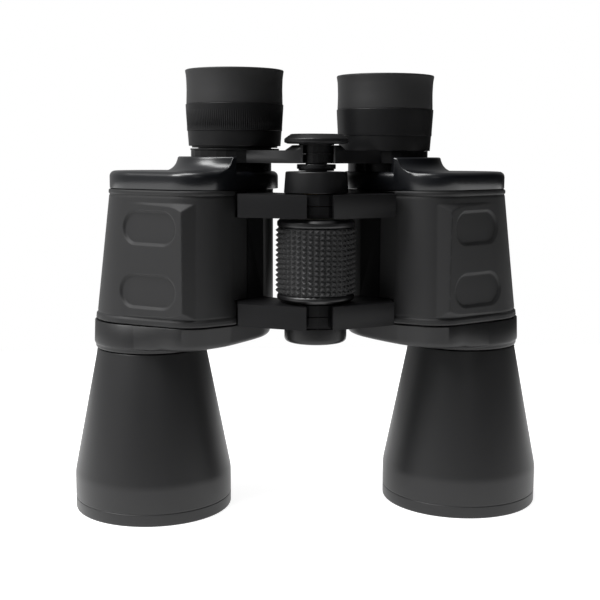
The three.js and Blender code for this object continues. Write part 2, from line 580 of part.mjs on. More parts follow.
const FLINT_BASE = LENS_SEAT_HEIGHT - GAP - FLINT_EDGE;
const CROWN_BASE = FLINT_BASE - GAP - CROWN_EDGE;

function objectiveBarrel() {
  const coneRadius = (height) => THREE.MathUtils.lerp(
    RIM_RADIUS, BARREL_TOP_RADIUS, (height - RIM_HEIGHT) / (BARREL_HEIGHT - RIM_HEIGHT),
  );
  const bore = LENS_RADIUS + GAP;
  const seat = APERTURE_RADIUS - GAP;
  const seatTop = LENS_SEAT_HEIGHT + BARREL_WALL;
  const neckTop = BARREL_HEIGHT + NECK_LENGTH;
  const neckBore = NECK_RADIUS - BARREL_WALL;
  return turnedRing([
    [RIM_RADIUS - RIM_LAND, 0], [RIM_RADIUS, 0], [RIM_RADIUS, RIM_HEIGHT],
    [coneRadius(BARREL_HEIGHT), BARREL_HEIGHT], [NECK_RADIUS, BARREL_HEIGHT],
    [NECK_RADIUS, neckTop], [neckBore, neckTop], [neckBore, BARREL_HEIGHT],
    [coneRadius(seatTop) - BARREL_WALL, seatTop], [seat, seatTop],
    [seat, LENS_SEAT_HEIGHT], [bore, LENS_SEAT_HEIGHT], [bore, HOOD_DEPTH],
  ], FINE_SEGMENTS);
}

const objectiveCrown = () => lens(LENS_RADIUS, CROWN_BASE, -CROWN_SAG, CROWN_EDGE, CEMENT_SAG);
const objectiveFlint = () => lens(LENS_RADIUS, FLINT_BASE, CEMENT_SAG, FLINT_EDGE, FLINT_BACK_SAG);
const objectiveRing = () => tube(
  APERTURE_RADIUS, LENS_RADIUS,
  CROWN_BASE - 2 * GAP - RETAINING_RING_HEIGHT, CROWN_BASE - 2 * GAP, FINE_SEGMENTS,
);

// ---- hinge and focus ----------------------------------------------------------------------------------

const upperHingeBush = () => tube(
  BUSH_BORE, BUSH_RADIUS, UPPER_ARM_BOTTOM,
  UPPER_CAP_BOTTOM + UPPER_CAP_HEIGHT - UPPER_CAP_ROOF - GAP,
);

const lowerHingeBush = () => tube(
  TRIPOD_THREAD_RADIUS + GAP, BUSH_RADIUS, LOWER_ARM_BOTTOM + GAP, LOWER_ARM_BOTTOM + ARM_HEIGHT,
);

function upperCap() {
  const top = UPPER_CAP_BOTTOM + UPPER_CAP_HEIGHT;
  const roof = top - UPPER_CAP_ROOF;
  return turnedRing([
    [BUSH_RADIUS + GAP, UPPER_CAP_BOTTOM], [UPPER_CAP_RADIUS, UPPER_CAP_BOTTOM], [UPPER_CAP_TOP_RADIUS, top],
    [SPINDLE_RADIUS + GAP, top], [SPINDLE_RADIUS + GAP, roof], [BUSH_RADIUS + GAP, roof],
  ]);
}

// Screw cap over the tripod socket: a disc with a threaded stud that goes up into the lower bush.
function lowerCap() {
  const top = LOWER_ARM_BOTTOM - GAP;
  return turned([
    [0, LOWER_CAP_BOTTOM], [LOWER_CAP_RADIUS - LOWER_CAP_CHAMFER, LOWER_CAP_BOTTOM],
    [LOWER_CAP_RADIUS, LOWER_CAP_BOTTOM + LOWER_CAP_CHAMFER], [LOWER_CAP_RADIUS, top],
    [TRIPOD_THREAD_RADIUS, top], [TRIPOD_THREAD_RADIUS, top + CAP_STUD_LENGTH], [0, top + CAP_STUD_LENGTH],
  ]);
}

// Wheel with two plain rims and a waist for the grip. Its bore is the nut that drives the spindle.
function focusWheel() {
  const waistBottom = WHEEL_BOTTOM + WHEEL_RIM_BOTTOM;
  const waistTop = WHEEL_TOP - WHEEL_RIM_TOP;
  return turnedRing([
    [SPINDLE_RADIUS + GAP, WHEEL_BOTTOM], [WHEEL_RIM_RADIUS - WHEEL_CHAMFER, WHEEL_BOTTOM],
    [WHEEL_RIM_RADIUS, WHEEL_BOTTOM + WHEEL_CHAMFER], [WHEEL_RIM_RADIUS, waistBottom],
    [WHEEL_CORE_RADIUS, waistBottom], [WHEEL_CORE_RADIUS, waistTop],
    [WHEEL_RIM_RADIUS, waistTop], [WHEEL_RIM_RADIUS, WHEEL_TOP - WHEEL_CHAMFER],
    [WHEEL_RIM_RADIUS - WHEEL_CHAMFER, WHEEL_TOP], [SPINDLE_RADIUS + GAP, WHEEL_TOP],
  ]);
}

const focusGrip = () => tube(
  WHEEL_CORE_RADIUS + GAP, GRIP_RADIUS,
  WHEEL_BOTTOM + WHEEL_RIM_BOTTOM + GAP, WHEEL_TOP - WHEEL_RIM_TOP - GAP, FINE_SEGMENTS,
);

// Thin bearing washer centred in the clearance between the wheel and a hinge arm.
function wheelWasher(clearanceBottom, clearanceTop) {
  const bottom = (clearanceBottom + clearanceTop - WASHER_THICKNESS) / 2;
  return tube(SPINDLE_RADIUS + GAP, WASHER_RADIUS, bottom, bottom + WASHER_THICKNESS);
}

const focusSpindle = () => rod(SPINDLE_RADIUS, SPINDLE_BOTTOM, BRIDGE_CAP_BOTTOM - GAP);

// ---- ocular bridge ------------------------------------------------------------------------------------

// Bridge arm of the left half: a bar from the hub to the eyepiece ring, with one of the two hub knuckles.
function bridgeArm(knuckleOnTop) {
  const armTop = BRIDGE_BOTTOM + BRIDGE_ARM_THICKNESS;
  const hub = { x: 0, y: 0, r: BRIDGE_HUB_RADIUS };
  const bar = [hub, { x: EYEPIECE_X, y: EYEPIECE_Y, r: BRIDGE_BAR_RADIUS }];
  const ring = at(rod(BRIDGE_RING_RADIUS, BRIDGE_BOTTOM, armTop, FINE_SEGMENTS), EYEPIECE_X, EYEPIECE_Y);
  const shoulder = { x: EYEPIECE_X * BRIDGE_FLARE, y: EYEPIECE_Y * BRIDGE_FLARE, r: BRIDGE_HUB_RADIUS };
  const flare = circleHull([hub, shoulder], BRIDGE_BOTTOM, [hub], BRIDGE_HUB_TOP);
  const split = BRIDGE_SPLIT + (knuckleOnTop ? GAP / 2 : -GAP / 2);
  const own = knuckleOnTop ? [split, BRIDGE_HUB_TOP] : [BRIDGE_BOTTOM, split];
  const other = knuckleOnTop ? [BRIDGE_BOTTOM - OVERRUN, split] : [split, BRIDGE_HUB_TOP + OVERRUN];
  const farSide = slab(-FAR, BRIDGE_END_X, -FAR, FAR, 0, FAR);
  const web = cut(
    join(circleHull(bar, BRIDGE_BOTTOM, bar, armTop), ring, flare),
    farSide, rod(BRIDGE_KNUCKLE_RADIUS + KNUCKLE_CLEARANCE, ...other),
  );
  const spindleBore = rod(SPINDLE_RADIUS + GAP, BRIDGE_BOTTOM - OVERRUN, BRIDGE_HUB_TOP + OVERRUN);
  const tubeBore = rod(TUBE_RADIUS + GAP, BRIDGE_BOTTOM - OVERRUN, BRIDGE_HUB_TOP + OVERRUN, FINE_SEGMENTS);
  return cut(
    join(web, rod(BRIDGE_KNUCKLE_RADIUS, ...own)),
    spindleBore, at(tubeBore, EYEPIECE_X, EYEPIECE_Y),
  );
}

const bridgeCollar = () => tube(
  SPINDLE_RADIUS + GAP, BRIDGE_COLLAR_RADIUS, BRIDGE_COLLAR_BOTTOM, BRIDGE_BOTTOM - GAP,
);

const bridgeCap = () => turned([
  [0, BRIDGE_CAP_BOTTOM], [BRIDGE_CAP_RADIUS - BRIDGE_CAP_EDGE, BRIDGE_CAP_BOTTOM],
  [BRIDGE_CAP_RADIUS, BRIDGE_CAP_BOTTOM + BRIDGE_CAP_EDGE], [BRIDGE_CAP_FACE_RADIUS, BRIDGE_CAP_TOP],
  [0, BRIDGE_CAP_TOP],
]);

// ---- eyepieces ----------------------------------------------------------------------------------------

const eyepieceTube = () => tube(TUBE_RADIUS - TUBE_WALL, TUBE_RADIUS, TUBE_BOTTOM, TUBE_TOP);
const lensCell = () => tube(CELL_BORE, CELL_RADIUS, CELL_BOTTOM, CELL_TOP);

const eyepieceLens = (bottom) => lens(
  CELL_BORE - GAP, bottom, -EYEPIECE_LENS_SAG, EYEPIECE_LENS_EDGE, EYEPIECE_LENS_SAG,
);

function lensRetainer() {
  const bottom = EYE_LENS_BOTTOM + EYEPIECE_LENS_EDGE + 2 * GAP;
  return tube(RETAINER_BORE, CELL_BORE - GAP, bottom, bottom + RETAINER_HEIGHT);
}

function lowerRing() {
  const bore = TUBE_RADIUS + GAP;
  const top = UPPER_RING_BOTTOM - GAP;
  return turnedRing([
    [bore, LOWER_RING_BOTTOM], [LOWER_RING_RADIUS, LOWER_RING_BOTTOM],
    [LOWER_RING_TOP_RADIUS, top], [bore, top],
  ]);
}

// Upper ring: runs on the tube below and closes in under the eyecup onto the lens cell.
function upperRing() {
  const bore = TUBE_RADIUS + GAP;
  const top = EYECUP_BOTTOM - GAP;
  const roof = top - RING_ROOF;
  return turnedRing([
    [bore, UPPER_RING_BOTTOM], [UPPER_RING_RADIUS, UPPER_RING_BOTTOM], [UPPER_RING_TOP_RADIUS, top],
    [CELL_RADIUS + GAP, top], [CELL_RADIUS + GAP, roof], [bore, roof],
  ]);
}

function eyecup() {
  const floor = EYECUP_BOTTOM + EYECUP_FLOOR;
  const waist = EYECUP_BOTTOM + EYECUP_WAIST;
  return turnedRing([
    [EYE_HOLE_RADIUS, EYECUP_BOTTOM], [EYECUP_FOOT_RADIUS, EYECUP_BOTTOM], [EYECUP_FOOT_RADIUS, waist],
    [EYECUP_LIP_RADIUS, EYECUP_TOP], [EYECUP_LIP_RADIUS - EYECUP_WALL, EYECUP_TOP],
    [EYECUP_FOOT_RADIUS - EYECUP_WALL, waist], [EYECUP_FOOT_RADIUS - EYECUP_WALL, floor],
    [EYE_HOLE_RADIUS, floor],
  ]);
}

// ---- assembly -----------------------------------------------------------------------------------------

const binoculars = new THREE.Group();

function place(group, name, geometry, material) {
  const mesh = new THREE.Mesh(closed(geometry), material());
  mesh.name = name;
  group.add(mesh);
}

function group(parent, x = 0, y = 0, z = 0) {
  const child = new THREE.Group();
  child.position.set(x, y, z);
  parent.add(child);
  return child;
}

// The left half carries the outer fork of the hinge, and the right half is its mirror with the inner fork.
const HALVES = [
  { side: 'right', sign: -1, outerFork: false, lift: DIOPTRE_LIFT, ringName: 'diopter_ring' },
  { side: 'left', sign: 1, outerFork: true, lift: 0, ringName: 'eyepiece_ring' },
];

for (const { side, sign, outerFork, lift, ringName } of HALVES) {
  const handed = (geometry) => (sign < 0 ? mirrored(geometry) : geometry);
  const half = group(binoculars);
  place(half, `${side}_prism_housing`, handed(prismHousing(outerFork)), castMetal);
  place(half, `${side}_armour`, handed(armour()), rubber);
  place(half, `${side}_prism_cover`, handed(prismCover()), glossBlack);
  place(half, `${side}_front_plate`, handed(frontPlate()), barrelGrey);
  place(half, `${side}_prism_shelf`, handed(prismShelf()), aluminium);
  place(half, `${side}_prism_rear`, handed(onShelf(porroPrism(), ENTRY, TURN, true)), glass);
  place(half, `${side}_prism_front`, handed(onShelf(porroPrism(), TURN, EXIT, false)), glass);
  place(half, `${side}_prism_clip_rear`, handed(onShelf(prismClip(), ENTRY, TURN, true)), steel);
  place(half, `${side}_prism_clip_front`, handed(onShelf(prismClip(), TURN, EXIT, false)), steel);

  const objective = group(half, sign * OBJECTIVE_X, OBJECTIVE_Y);
  place(objective, `${side}_objective_barrel`, objectiveBarrel(), barrelGrey);
  place(objective, `${side}_objective_crown`, objectiveCrown(), glass);
  place(objective, `${side}_objective_flint`, objectiveFlint(), glass);
  place(objective, `${side}_objective_ring`, objectiveRing(), satinBlack);

  place(half, `bridge_arm_${side}`, handed(bridgeArm(!outerFork)), satinBlack);
  const eyepiece = group(half, sign * EYEPIECE_X, EYEPIECE_Y);
  place(eyepiece, `${side}_eyepiece_tube`, eyepieceTube(), satinBlack);
  const head = group(eyepiece, 0, 0, lift);
  place(head, `${side}_lens_cell`, lensCell(), aluminium);
  place(head, `${side}_field_lens`, eyepieceLens(FIELD_LENS_BOTTOM), glass);
  place(head, `${side}_eye_lens`, eyepieceLens(EYE_LENS_BOTTOM), glass);
  place(head, `${side}_lens_retainer`, lensRetainer(), satinBlack);
  place(head, `${side}_lower_ring`, lowerRing(), satinBlack);
  place(head, ringName, upperRing(), satinBlack);
  place(head, `${side}_eyecup`, eyecup(), rubber);
}

const centre = group(binoculars);
place(centre, 'upper_hinge_bush', upperHingeBush(), brass);
place(centre, 'lower_hinge_bush', lowerHingeBush(), brass);
place(centre, 'upper_cap', upperCap(), satinBlack);
place(centre, 'lower_cap', lowerCap(), satinBlack);
place(centre, 'focus_wheel', focusWheel(), satinBlack);
place(centre, 'focus_grip', focusGrip(), rubber);
place(centre, 'wheel_washer_lower', wheelWasher(LOWER_ARM_BOTTOM + ARM_HEIGHT, WHEEL_BOTTOM), nylon);
place(centre, 'wheel_washer_upper', wheelWasher(WHEEL_TOP, UPPER_ARM_BOTTOM), nylon);
place(centre, 'focus_spindle', focusSpindle(), steel);
place(centre, 'bridge_collar', bridgeCollar(), rubber);
place(centre, 'bridge_cap', bridgeCap(), satinBlack);

const box = new THREE.Box3().setFromObject(binoculars);
binoculars.position.set(-(box.min.x + box.max.x) / 2, -(box.min.y + box.max.y) / 2, -box.min.z);

export default binoculars;
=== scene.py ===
import math

import bmesh
import bpy
import numpy as np
from mathutils import Matrix, Vector


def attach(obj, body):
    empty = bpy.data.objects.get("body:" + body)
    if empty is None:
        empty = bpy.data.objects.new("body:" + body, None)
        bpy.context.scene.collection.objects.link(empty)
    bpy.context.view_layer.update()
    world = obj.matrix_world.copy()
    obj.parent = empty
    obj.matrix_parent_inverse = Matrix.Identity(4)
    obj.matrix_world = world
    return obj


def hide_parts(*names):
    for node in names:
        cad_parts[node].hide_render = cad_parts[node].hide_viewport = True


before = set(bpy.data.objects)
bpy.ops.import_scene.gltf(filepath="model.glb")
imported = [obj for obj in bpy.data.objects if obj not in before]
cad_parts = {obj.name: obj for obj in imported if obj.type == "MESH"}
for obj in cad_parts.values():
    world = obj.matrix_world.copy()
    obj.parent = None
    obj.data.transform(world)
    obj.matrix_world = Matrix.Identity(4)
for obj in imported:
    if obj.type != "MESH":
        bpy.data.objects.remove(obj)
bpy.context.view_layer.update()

# ---- prism housings ------------------------------------------------------------------------------
# Each housing is an aluminium die casting that carries the prisms, with two hinge arms cast on its inner
# wall. It is powder coated satin black, and its sharp casting edges are broken by tumbling.

HINGE_Y = -21.0                 # the hinge axis in the frame; the sizes below are millimetres from it
CAST_EDGE = 0.35                # broken edge of the casting


def finish(name, colour, rough, grain, bump, mottle=0.12, metal=0.0, **constants):
    """A finish of one colour: fine noise of that grain (mm) makes the bump and varies the roughness by half
    the mottle's share, and a broad cloud varies the colour by the mottle's share."""
    material = bpy.data.materials.new(name)
    material.use_nodes = True
    nodes, links = material.node_tree.nodes, material.node_tree.links
    shader = nodes["Principled BSDF"]
    place = nodes.new("ShaderNodeTexCoord")
    cloud = nodes.new("ShaderNodeTexNoise")
    cloud.inputs["Scale"].default_value = 60
    cloud.inputs["Detail"].default_value = 4
    speck = nodes.new("ShaderNodeTexNoise")
    speck.inputs["Scale"].default_value = 1000 / grain
    speck.inputs["Detail"].default_value = 3
    tint = nodes.new("ShaderNodeValToRGB")
    tint.color_ramp.elements[0].position = 0.3
    tint.color_ramp.elements[1].position = 0.7
    tint.color_ramp.elements[0].color = [c * (1 - mottle) for c in colour] + [1]
    tint.color_ramp.elements[1].color = [min(c * (1 + mottle), 1) for c in colour] + [1]
    gloss = nodes.new("ShaderNodeMapRange")
    gloss.inputs["To Min"].default_value = rough * (1 - mottle / 2)
    gloss.inputs["To Max"].default_value = min(rough * (1 + mottle / 2), 1)
    relief = nodes.new("ShaderNodeBump")
    relief.inputs["Strength"].default_value = bump
    relief.inputs["Distance"].default_value = grain / 4000
    links.new(place.outputs["Object"], cloud.inputs["Vector"])
    links.new(place.outputs["Object"], speck.inputs["Vector"])
    links.new(cloud.outputs["Fac"], tint.inputs["Fac"])
    links.new(tint.outputs["Color"], shader.inputs["Base Color"])
    links.new(speck.outputs["Fac"], gloss.inputs["Value"])
    links.new(gloss.outputs["Result"], shader.inputs["Roughness"])
    links.new(speck.outputs["Fac"], relief.inputs["Height"])
    links.new(relief.outputs["Normal"], shader.inputs["Normal"])
    shader.inputs["Metallic"].default_value = metal
    for socket, value in constants.items():
        shader.inputs[socket.replace("_", " ")].default_value = value
    return material


def close_up(mesh, sharp):
    """Merges coincident points, turns every face outwards and keeps only edges over sharp degrees hard."""
    work = bmesh.new()
    work.from_mesh(mesh)
    bmesh.ops.remove_doubles(work, verts=work.verts, dist=2e-7)
    bmesh.ops.dissolve_degenerate(work, edges=work.edges, dist=1e-7)
    bmesh.ops.recalc_face_normals(work, faces=work.faces)
    work.to_mesh(mesh)
    work.free()
    mesh.shade_smooth()
    mesh.set_sharp_from_angle(angle=math.radians(sharp))


def seat(piece, material, slot, body, *nodes):
    """Gives a piece its finish, lets it ride on its body and stand for its CAD nodes."""
    piece.data.materials.clear()
    piece.data.materials.append(material)
    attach(piece, body)
    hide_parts(*nodes)
    return piece


def edged_copy(name, node, width, sharp=35):
    """A merged copy of a CAD node's mesh with a narrow bevel along its hard edges."""
    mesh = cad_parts[node].data.copy()
    mesh.name = name
    piece = bpy.data.objects.new(name, mesh)
    bpy.context.scene.collection.objects.link(piece)
    close_up(mesh, sharp)
    bevel = piece.modifiers.new("broken edge", "BEVEL")
    bevel.width = width / 1000
    bevel.segments = 2
    bevel.limit_method = "ANGLE"
    bevel.angle_limit = math.radians(sharp)
    bevel.harden_normals = True
    return piece


casting = finish("casting", (0.0055, 0.0055, 0.006), 0.5, 0.35, 0.25, Specular_IOR_Level=0.16)
HALVES = (("left", "left_half"), ("right", "right_half"))
for side, body in HALVES:
    node = side + "_prism_housing"
    seat(edged_copy(side + "_housing_casting", node, CAST_EDGE), casting, "casting", body, node)

# ---- rubber armour -------------------------------------------------------------------------------
# A sleeve of moulded soft-touch rubber, 1.5 mm thick, is stretched over each casting and glued. It has a
# bead along both ends, a flat thumb panel with two stadium dimples, and it stops short of the inner wall.

OUTER_END = np.array([[61.8, 26.6, 22.0], [57.9, 26.6, 20.0]])      # x, y, radius at the bottom and top
FRONT_SWELL = np.array([[46.9, 9.2, 14.4], [44.9, 8.8, 14.4]])
EYEPIECE_END = np.array([[29.4, 24.7, 14.9], [29.4, 24.7, 14.9]])
FRONT_CORNER = np.array([[34.0, 5.4, 4.4], [34.0, 5.4, 4.4]])
HOUSING_CIRCLES = np.stack([OUTER_END, FRONT_SWELL, EYEPIECE_END, FRONT_CORNER], 1)
HOUSING_Z = (76.0, 126.6)
ARMOUR_Z = (76.2, 126.5)
ARMOUR_EDGE_X = 25.5
ARMOUR_THICKNESS = 1.5
ARMOUR_ROUND = 0.4              # rounding of its top and bottom edges
BEAD_TOP = 2.0                  # height of the bead along the top, and of the one along the bottom
BEAD_BOTTOM = 2.6
BEAD_PROUD = 0.35
SEAM_WIDTH = 0.7                # groove beside a bead
SEAM_DEPTH = 0.22
PANEL_INNER = np.array([50.0, -7.1])
PANEL_OUTER = np.array([[74.0, 7.9], [70.3, 10.9]])
PANEL_Z = (82.2, 118.6)
PANEL_BEVEL = 3.2
PANEL_FADE = 9.0                # the panel runs out into the outer end over this width
PANEL_SLOPE = 0.9               # rise of the sloping border for each millimetre of its width
DIMPLE = (26.0, 12.9)           # width and height of a stadium dimple
DIMPLE_Z = (89.0, 112.6)
DIMPLE_DEPTH = 0.9
DIMPLE_EDGE = 0.8               # width of its sloping edge
DIMPLE_SHIFT = 1.6              # how far outwards of the panel's middle the dimples lie
BACK_Y = 24                     # the dimples are only in front of here
BEAD_BLEND = 0.6                # height over which a bead rises
NOTCH_X = 29.9                  # the sleeve is thinned around the roots of the hinge arms, inwards of here
NOTCH_Z = ((76.2, 85.4), (116.5, 125.8))
NOTCH_Y = 12                    # and in front of here
NOTCH_DEPTH = 1.25


def hull(circles, count, from_x=None):
    """Points and outward directions along the outline that wraps all the circles: in each direction the
    farthest circle gives centre + radius x direction, and the points are then spaced evenly. It starts
    facing -X and turns past the front. With from_x it runs only where x is beyond that value."""
    angle = np.linspace(math.pi, 3 * math.pi, 8193)
    outward = np.stack([np.cos(angle), np.sin(angle)], -1)
    widest = np.argmax(outward @ circles[:, :2].T + circles[:, 2], axis=1)
    path = circles[widest, :2] + circles[widest, 2:] * outward
    step = np.linalg.norm(np.diff(path, axis=0), axis=1)
    run = np.concatenate([[0], np.cumsum(step)])
    start, end = run[0], run[-1]
    if from_x is not None:
        beyond = np.linspace(start, end, 40001)
        inside = beyond[np.interp(beyond, run, path[:, 0]) > from_x]
        start, end = inside[0], inside[-1]
    at = np.linspace(start, end, count)
    point = np.stack([np.interp(at, run, path[:, k]) for k in (0, 1)], -1)
    normal = np.stack([np.interp(at, run, outward[:, k]) for k in (0, 1)], -1)
    return point, normal / np.linalg.norm(normal, axis=1, keepdims=True)


def ramp(value, low, high):
    """Smooth step from 0 at low to 1 at high."""
    t = np.clip((value - low) / (high - low), 0, 1)
    return t * t * (3 - 2 * t)


def grid_faces(count_u, count_v, wrap_u=False, wrap_v=False, start=0):
    """Four-cornered faces between the neighbours of a grid of points, numbered from start."""
    ids = np.arange(count_u * count_v).reshape(count_u, count_v) + start
    if wrap_u:
        ids = np.concatenate([ids, ids[:1]], 0)
    if wrap_v:
        ids = np.concatenate([ids, ids[:, :1]], 1)
    corners = [ids[:-1, :-1], ids[1:, :-1], ids[1:, 1:], ids[:-1, 1:]]
    return np.stack(corners, -1).reshape(-1, 4).tolist()


def solid(name, points, mirrored=False, wrap_u=True, wrap_v=True, ends=False, sharp=35,
          faces=None):
    """A closed piece from a grid of points (u, v, xyz) in millimetres from the hinge axis; with ends, the
    first and last row of the grid are closed by a flat face. A mirrored piece has x turned round."""
    count_u, count_v = points.shape[:2]
    place = points.reshape(-1, 3) * ((-1, 1, 1) if mirrored else (1, 1, 1)) + (0, HINGE_Y, 0)
    faces = faces or grid_faces(count_u, count_v, wrap_u, wrap_v)
    if ends:
        faces.append(list(range(count_v)))
        faces.append(list(range((count_u - 1) * count_v, count_u * count_v)))
    mesh = bpy.data.meshes.new(name)
    mesh.from_pydata((place / 1000).tolist(), [], faces)
    close_up(mesh, sharp)
    piece = bpy.data.objects.new(name, mesh)
    bpy.context.scene.collection.objects.link(piece)
    return piece


def armour_points():
    """The sleeve as a closed section swept along the outline. The section runs up the outer face, over
    the top edge, down the inner face and back. The outer face is the drafted outline, moved out along
    the panel's own direction to the panel's plane where that plane is proud, and in at the dimples."""
    count_u, count_z = 360, 130
    low, low_out = hull(HOUSING_CIRCLES[0], count_u, ARMOUR_EDGE_X)
    high, high_out = hull(HOUSING_CIRCLES[1], count_u, ARMOUR_EDGE_X)
    height = np.linspace(ARMOUR_Z[0], ARMOUR_Z[1], count_z)
    share = ((height - HOUSING_Z[0]) / (HOUSING_Z[1] - HOUSING_Z[0]))[None, :, None]
    base = low[:, None] * (1 - share) + high[:, None] * share
    out = low_out[:, None] * (1 - share) + high_out[:, None] * share
    z = np.broadcast_to(height, base.shape[:2])

    outer_edge = PANEL_OUTER[0] * (1 - share) + PANEL_OUTER[1] * share
    along = outer_edge - PANEL_INNER
    length = np.linalg.norm(along, axis=-1, keepdims=True)
    along = along / length
    face = np.stack([along[..., 1], -along[..., 0]], -1)
    rise = ((PANEL_INNER - base) * face).sum(-1)
    across = ((base - PANEL_INNER) * along).sum(-1)
    limits = [rise, PANEL_SLOPE * (across + PANEL_BEVEL),
              PANEL_SLOPE * (z - PANEL_Z[0] + PANEL_BEVEL), PANEL_SLOPE * (PANEL_Z[1] + PANEL_BEVEL - z)]
    proud = np.min(limits, axis=0) * (out * face).sum(-1).clip(0, 1).round()
    proud = np.clip(proud, 0, None) * (1 - ramp(across - length[..., 0], -PANEL_FADE, 2))

    middle = length[..., 0] / 2 + DIMPLE_SHIFT
    reach = (DIMPLE[0] - DIMPLE[1]) / 2
    aside = np.clip(np.abs(across - middle) - reach, 0, None)
    on_front = base[..., 1] < BACK_Y
    for centre in DIMPLE_Z:
        away = np.hypot(aside, z - centre) - DIMPLE[1] / 2
        proud = proud - DIMPLE_DEPTH * (1 - ramp(away, -DIMPLE_EDGE, 0.1)) * on_front

    inset_low = np.abs(z - ARMOUR_Z[0] - BEAD_BOTTOM)
    inset_high = np.abs(ARMOUR_Z[1] - z - BEAD_TOP)
    seam = np.minimum(inset_low, inset_high)
    bead = np.maximum(1 - ramp(z - ARMOUR_Z[0], BEAD_BOTTOM - BEAD_BLEND, BEAD_BOTTOM),
                      ramp(z - ARMOUR_Z[1], -BEAD_TOP, -BEAD_TOP + BEAD_BLEND))
    edge = np.minimum(z - ARMOUR_Z[0], ARMOUR_Z[1] - z)
    nearness = 1 - np.clip(edge / ARMOUR_ROUND, 0, 1)
    rounding = ARMOUR_ROUND * (1 - np.sqrt(1 - nearness ** 2))
    relief = BEAD_PROUD * bead - SEAM_DEPTH * (1 - ramp(seam, 0, SEAM_WIDTH)) - rounding
    for low_z, high_z in NOTCH_Z:
        root = (base[..., 0] < NOTCH_X) & (base[..., 1] < NOTCH_Y) & (z > low_z) & (z < high_z)
        relief = np.where(root, -NOTCH_DEPTH, relief)
    outside = base + face * proud[..., None] + out * relief[..., None]
    inside = (base - out * ARMOUR_THICKNESS)[:, ::-1]
    section = np.concatenate([outside, inside], 1)
    section_z = np.concatenate([z, z[:, ::-1]], 1)
    return np.concatenate([section, section_z[..., None]], -1)


rubber = finish("rubber armour", (0.0085, 0.0085, 0.009), 0.6, 0.16, 0.35, mottle=0.06,
                Specular_IOR_Level=0.4, Sheen_Weight=0.05, Sheen_Roughness=0.5)
sleeve = armour_points()
for side, body in HALVES:
    piece = solid(side + "_rubber_armour", sleeve, side == "right", wrap_u=False, ends=True, sharp=50)
    seat(piece, rubber, "rubber_armour", body, side + "_armour")

# ---- prism covers --------------------------------------------------------------------------------
# Each housing is closed at the eyepiece end by a cover moulded in glossy black plastic and screwed down
# from inside. A raised half boss with a concave foot stands around the eyepiece on the outer side.

COVER_Z = (127.0, 133.4)
COVER_LIP = 126.72              # lower edge of its wall, a hair above the casting
COVER_GUIDE = 16.8              # outside radius of the cover around the eyepiece
COVER_ROUND = 2.2
COVER_WALL = 2.2
COVER_ROOF = 2.4
BOSS_TOP = 138.9
BOSS_RADIUS = 22.2
BOSS_FLARE = 5.4
BOSS_EDGE = 0.9
RECESS = (17.6, 135.8)          # radius and height of the seat inside the boss
TUBE_BORE = 14.5
EYEPIECE = np.array([29.4, 24.7])


def reach_from(centre, outline, angle):
    """Distance from the centre to the outline in each direction."""
    away = outline - centre
    bearing = np.arctan2(away[:, 1], away[:, 0])
    order = np.argsort(bearing)
    distance = np.linalg.norm(away, axis=1)
    return np.interp(angle, bearing[order], distance[order], period=2 * math.pi)


